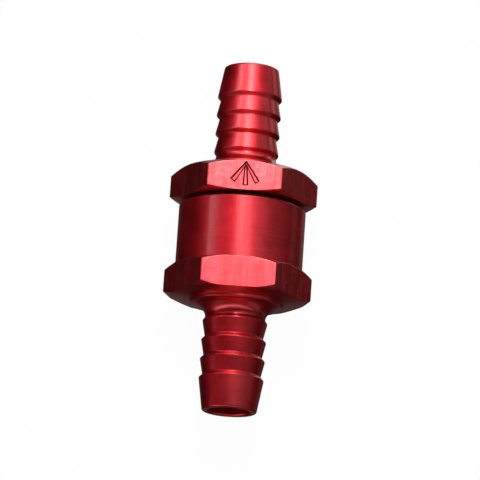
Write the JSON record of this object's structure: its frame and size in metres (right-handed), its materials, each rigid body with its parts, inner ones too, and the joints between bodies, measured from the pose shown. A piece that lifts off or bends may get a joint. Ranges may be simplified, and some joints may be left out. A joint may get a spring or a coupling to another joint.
{
  "type": "fuel filter",
  "caption": "In-line fuel filter in a two-part anodised aluminium body with hexagons, hose barbs, a flow arrow and a built-in non-return valve.",
  "frame": {"origin": "middle of the part on the flow axis, which is the centre of its bounding box", "axes": "+X along the flow axis from the inlet to the outlet, +Z out of the hexagon flat that carries the flow arrow, +Y sideways"},
  "size_m": [0.0604, 0.0254, 0.022],
  "materials": {
    "anodised_aluminium": "red anodised, fine turned and brushed, glossy",
    "rubber": "nitrile rubber, moulded, semi-matt",
    "steel": "stainless steel, fine grained",
    "spring_steel": "drawn stainless spring wire, bright",
    "brass": "turned brass, satin",
    "wire_mesh": "woven stainless wire cloth",
    "acetal": "natural acetal, machined"
  },
  "bodies": {
    "housing": {"housing": "anodised_aluminium"},
    "spring": {"element_spring": "spring_steel", "spring_washer": "steel"},
    "element": {"element_gasket": "rubber", "element_collar": "brass", "element_core": "steel", "element_mesh": "wire_mesh", "element_end_cap": "brass", "valve_guide": "brass", "valve_spring": "spring_steel"},
    "valve": {"valve_poppet": "acetal", "valve_ring": "rubber"},
    "seal": {"cap_seal": "rubber"},
    "cap": {"outlet_cap": "anodised_aluminium"}
  },
  "joints": [
    {"name": "cap_lift", "type": "slide", "parent": "housing", "child": "spring", "axis": [1, 0, 0], "range_m": [0, 0.03]},
    {"name": "cap_travel", "type": "slide", "parent": "spring", "child": "seal", "axis": [1, 0, 0], "range_m": [0, 0.006]},
    {"name": "cap_turn", "type": "hinge", "parent": "seal", "child": "cap", "pos_m": [0, 0, 0], "axis": [1, 0, 0], "range_deg": [0, 2160]},
    {"name": "element_lift", "type": "slide", "parent": "spring", "child": "element", "axis": [1, 0, 0], "range_m": [0, 0.0015], "stiffness_N_per_m": 800, "springref_m": -0.002, "deforming": ["element_spring"]},
    {"name": "valve_lift", "type": "slide", "parent": "element", "child": "valve", "axis": [1, 0, 0], "range_m": [0, 0.0015], "stiffness_N_per_m": 60, "springref_m": -0.002, "deforming": ["valve_spring"]}
  ],
  "couplings": [
    {"joint": "cap_travel", "follows": "cap_turn", "m_per_rad": 0.00015915}
  ]
}
